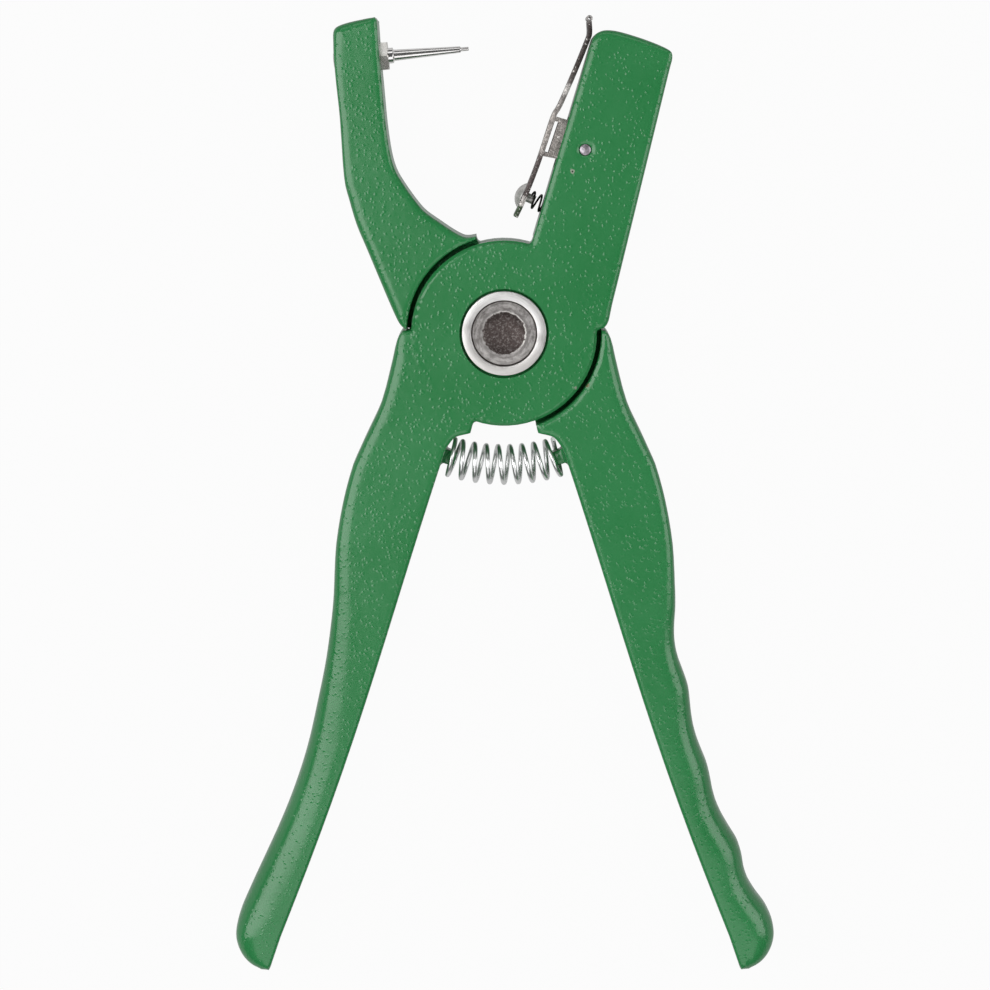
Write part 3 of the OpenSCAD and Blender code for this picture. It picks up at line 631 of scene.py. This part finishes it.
def makePivot(materials):
    look = {
        "headR": 11.05 * mm, "headT": 2.6 * mm, "pinR": 8.5 * mm, "pinTop": 16.6 * mm,
        "dimpleR": 5.5 * mm, "dimpleDepth": 1.4 * mm, "edge": 0.4 * mm, "rings": 26,
        "dents": ((900, 0.14 * mm), (2300, 0.08 * mm)), "dentEdge": 0.9 * mm, "faceDents": 0.03,
        "ringTop": 17.7 * mm, "ringLow": 15.1 * mm, "ringHole": 8.55 * mm, "ringR": 10.9 * mm,
        "ringEdge": 0.12 * mm, "turns": (128, 160),
    }
    e = look["edge"]
    topR = look["pinR"] - e
    top = []
    for i in range(look["rings"] + 1):
        r = topR * (1 - i / look["rings"])
        if r > look["dimpleR"]:
            drop = 0
        else:
            share = r / look["dimpleR"]
            drop = look["dimpleDepth"] * (1 - share ** 5) * (0.62 + 0.38 * (1 - share * share))
        top.append((r, look["pinTop"] - drop))
    rim = [(look["pinR"] - e * (1 - math.cos(a)), look["pinTop"] - e * (1 - math.sin(a)))
           for a in [math.radians(d) for d in range(0, 90, 22)]]
    headRim = [(look["headR"] - e * (1 - math.cos(a)), e * (1 + math.sin(a)))
               for a in [math.radians(d) for d in range(-90, 1, 22)]]
    shoulder = [(look["headR"], look["headT"]), (look["pinR"], look["headT"])]
    pinTurns, ringTurns = look["turns"]
    bm = spun([(0, 0), *headRim, *shoulder, *rim, *top], pinTurns)
    face = [v for v in bm.verts if v.co.z > look["pinTop"] - look["dimpleDepth"] - mm
            and math.hypot(v.co.x, v.co.y) < topR]
    for v in face:  # dents in the dimple, and a few on the face around it
        r = math.hypot(v.co.x, v.co.y)
        share = min(max((look["dimpleR"] * 1.08 - r) / look["dentEdge"], 0), 1)
        depth = sum(noise.noise(v.co * scale) * height for scale, height in look["dents"])
        v.co.z += (look["faceDents"] + (1 - look["faceDents"]) * share) * depth
    pin = newPiece("pivotPin", bm, materials["struck"], 50)
    place(pin, "front_half", "dark_steel", "pivot_pin")
    e = look["ringEdge"]
    turn = [math.radians(d) for d in (0, 30, 60, 90)]
    profile = [(look["ringHole"], look["ringLow"]), (look["ringR"], look["ringLow"])]
    profile += [(look["ringR"] - e * (1 - math.cos(a)), look["ringTop"] - e * (1 - math.sin(a)))
                for a in turn]
    profile += [(look["ringHole"] + e * (1 - math.sin(a)), look["ringTop"] - e * (1 - math.cos(a)))
                for a in turn]
    profile += [(look["ringHole"], look["ringLow"])]
    ring = newPiece("pivotRing", spun(profile, ringTurns), materials["turned"], 50)
    place(ring, "front_half", "turned_steel", "pivot_washer")
    print("pivot pin and ring made")


# Springs

def makeHandleSpring(materials):
    look = {
        "outerD": 10.8 * mm, "wireD": 1.2 * mm, "turns": 8, "closed": 0.5, "closedRise": 0.35,
        "splay": math.radians(18.8), "seatX": 15.955 * mm, "seatY": -32.4 * mm, "seatGap": 1.3 * mm,
        "rings": 28,
    }
    bendR = look["seatX"] / math.sin(look["splay"])
    bendY = look["seatY"] + bendR * math.cos(look["splay"])
    coilR = (look["outerD"] - look["wireD"]) / 2
    sweep = 2 * (look["splay"] - (look["seatGap"] + look["wireD"] / 2) / bendR)
    closed = look["closed"]
    weight = look["turns"] + 2 * closed * look["closedRise"]
    count = int((look["turns"] + 2 * closed) * look["rings"])
    points = []
    for i in range(count + 1):
        u = (look["turns"] + 2 * closed) * i / count - closed
        rise = min(max(u, 0), look["turns"])
        rise += (min(u, 0) + max(u - look["turns"], 0)) * look["closedRise"]
        bend = -sweep / 2 + sweep * (rise + closed * look["closedRise"]) / weight
        down = Vector((math.sin(bend), -math.cos(bend), 0))
        out = down * math.cos(2 * math.pi * u) - Vector((0, 0, 1)) * math.sin(2 * math.pi * u)
        points.append(Vector((0, bendY, midZ)) + down * bendR + out * coilR)
    spring = sweptWire("handleSpring", points, look["wireD"] / 2, materials["wire"])
    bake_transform(spring)
    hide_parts("handle_spring")
    print("handle spring made")


# Applicator pin

def makeApplicatorPin(materials):
    look = {
        "at": (-31.95 * mm, 71.1 * mm, midZ), "turn": math.radians(4.9),
        "shankR": 2.0 * mm, "shankEnd": -12.05 * mm, "edge": 0.4 * mm, "small": 0.2 * mm,
        "nutT": 2.2 * mm, "collar": 1.3 * mm, "footR": 1.45 * mm, "taper": 17.4 * mm,
        "endR": 0.8 * mm, "tip": 2.1 * mm, "tipR": 0.5 * mm,
        "slot": (0.8 * mm, 6 * mm, 0.9 * mm), "crisp": 35,
    }
    e = look["edge"]
    foot = look["nutT"] + look["collar"]
    end = foot + look["taper"]
    tip = end + look["tip"]
    small = look["small"]
    profile = [(0, look["shankEnd"])]
    profile += arc((look["shankR"] - e, look["shankEnd"] + e), e, -90, 0, 4)
    profile += arc((look["shankR"] - small, foot - small), small, 0, 90, 3)
    profile += [(look["footR"] + small, foot)]
    profile += [(look["footR"], foot + small), (look["endR"] + 0.02 * mm, end - small)]
    profile += [(look["endR"] - 0.06 * mm, end), (look["tipR"], end + 0.02 * mm)]
    profile += arc((look["tipR"] - small, tip - small), small, 0, 90, 4)
    profile += [(0, tip)]
    pin = newPiece("applicatorPin", spun(profile, 48), materials["polished"], look["crisp"])
    cutter = bmesh.new()
    width, length, depth = look["slot"]
    bmesh.ops.create_cube(cutter, size=1)
    bmesh.ops.scale(cutter, verts=cutter.verts, vec=(width, length, 2 * depth))
    bmesh.ops.translate(cutter, verts=cutter.verts, vec=(0, 0, look["shankEnd"]))
    tool = newPiece("slotCutter", cutter, materials["polished"], None)
    cut = pin.modifiers.new("slot", "BOOLEAN")
    cut.operation = "DIFFERENCE"
    cut.object = tool
    mesh = applyModifiers(pin)
    bpy.data.objects.remove(tool)
    mesh.set_sharp_from_angle(angle=math.radians(look["crisp"]))
    along = Matrix.Rotation(look["turn"], 4, "Z") @ Matrix.Rotation(math.pi / 2, 4, "Y")
    mesh.transform(Matrix.Translation(look["at"]) @ along)
    place(pin, "rear_half", "polished_steel", "applicator_pin")
    print("applicator pin made")


# Clip

def onFace(right, up, high=0):  # place by the distances out of and along the female jaw's face
    foot = Matrix.Translation(faceFoot) @ Matrix.Rotation(-faceTilt, 4, "Z")
    return foot @ Matrix.Translation((right, up, high))


def makeClip(materials):
    look = {
        "bevel": 0.14 * mm, "sharp": math.radians(38),
        "rivetAt": 10.5 * mm, "rivetTurn": math.radians(-8), "stripGap": 5 * mm,
        "ballR": 4.111 * mm, "half": 55.8,
        "domeBase": -0.75 * mm, "dome": 1.8 * mm, "shankR": 1.2 * mm, "shankEnd": 2.8 * mm,
        "axleAt": (6.4 * mm, 27.2 * mm), "axleR": 1.5 * mm, "axleEnds": (0.3 * mm, 17.85 * mm),
        "axleDome": 0.35 * mm,
    }
    bm = cadCopy("clip_lever")
    bmesh.ops.bevel(bm, geom=crispEdges(bm, look["sharp"]), offset=look["bevel"], offset_type="OFFSET",
                    affect="EDGES", segments=2, profile=0.5, material=-1, clamp_overlap=True)
    lever = newPiece("clipStrip", bm, materials["clip"], 40)
    place(lever, "clip", "plated_steel", "clip_lever")

    top = look["domeBase"] - look["dome"]
    middle = top + look["ballR"]
    profile = [(0, look["shankEnd"])] + [(look["shankR"], look[z]) for z in ("shankEnd", "domeBase")]
    profile += arc((0, middle), look["ballR"], -90 + look["half"], -90, 14)
    rivet = newPiece("clipRivet", spun(profile, 56), materials["dome"], 40)
    rivetFrame = (onFace(0, look["rivetAt"], midZ) @ Matrix.Rotation(look["rivetTurn"], 4, "Z")
                  @ Matrix.Rotation(math.pi / 2, 4, "Y") @ Matrix.Translation((0, 0, -look["stripGap"])))
    rivet.data.transform(rivetFrame)
    place(rivet, "clip", "polished_steel", "clip_rivet")

    low, high = look["axleEnds"]
    r = look["axleR"]
    dome = look["axleDome"]
    cap = [(r * math.cos(a), dome * math.sin(a)) for a in [math.radians(d) for d in range(0, 91, 15)]]
    profile = [(x, low + dome - y) for x, y in reversed(cap)] + [(x, high - dome + y) for x, y in cap]
    profile[0] = (0, low)
    profile[-1] = (0, high)
    axle = newPiece("clipAxle", spun(profile, 40), materials["axle"], 50)
    axle.data.transform(onFace(*look["axleAt"]))
    place(axle, "front_half", "polished_steel", "clip_axle")
    print("clip, rivet and axle made")
    return rivetFrame


def makeClipSpring(materials, rivetFrame):
    look = {
        "outerD": 4.7 * mm, "wireD": 0.55 * mm, "turns": 4.5, "low": 1.175 * mm, "high": 10.425 * mm,
        "rings": 24,
    }
    coilR = (look["outerD"] - look["wireD"]) / 2
    count = int(look["turns"] * look["rings"])
    lift = look["low"] + look["wireD"] / 2
    climb = look["high"] - look["low"] - look["wireD"]
    points = []
    for i in range(count + 1):
        turn = 2 * math.pi * look["turns"] * i / count
        rise = lift + climb * i / count
        points.append(rivetFrame @ Vector((coilR * math.cos(turn), coilR * math.sin(turn), rise)))
    spring = sweptWire("clipSpring", points, look["wireD"] / 2, materials["darkWire"])
    rivetFrame @ Vector((0, 0, 2.2 * mm))
    rivetFrame @ Vector((0, 0, 9.4 * mm))
    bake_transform(spring)
    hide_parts("clip_spring")
    print("clip spring made")


makeCamera()
makeStage()
materials = buildMaterials()
print("camera, stage and materials made")
smoothCasting("front_lever", "frontCasting", "front_half", materials, 17.95 * mm)
smoothCasting("rear_lever", "rearCasting", "rear_half", materials, 0)
makePivot(materials)
makeHandleSpring(materials)
makeApplicatorPin(materials)
makeClipSpring(materials, makeClip(materials))
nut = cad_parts["pin_nut"]
nut.data.materials.clear()
nut.data.materials.append(materials["nut"])
print("nut dressed")
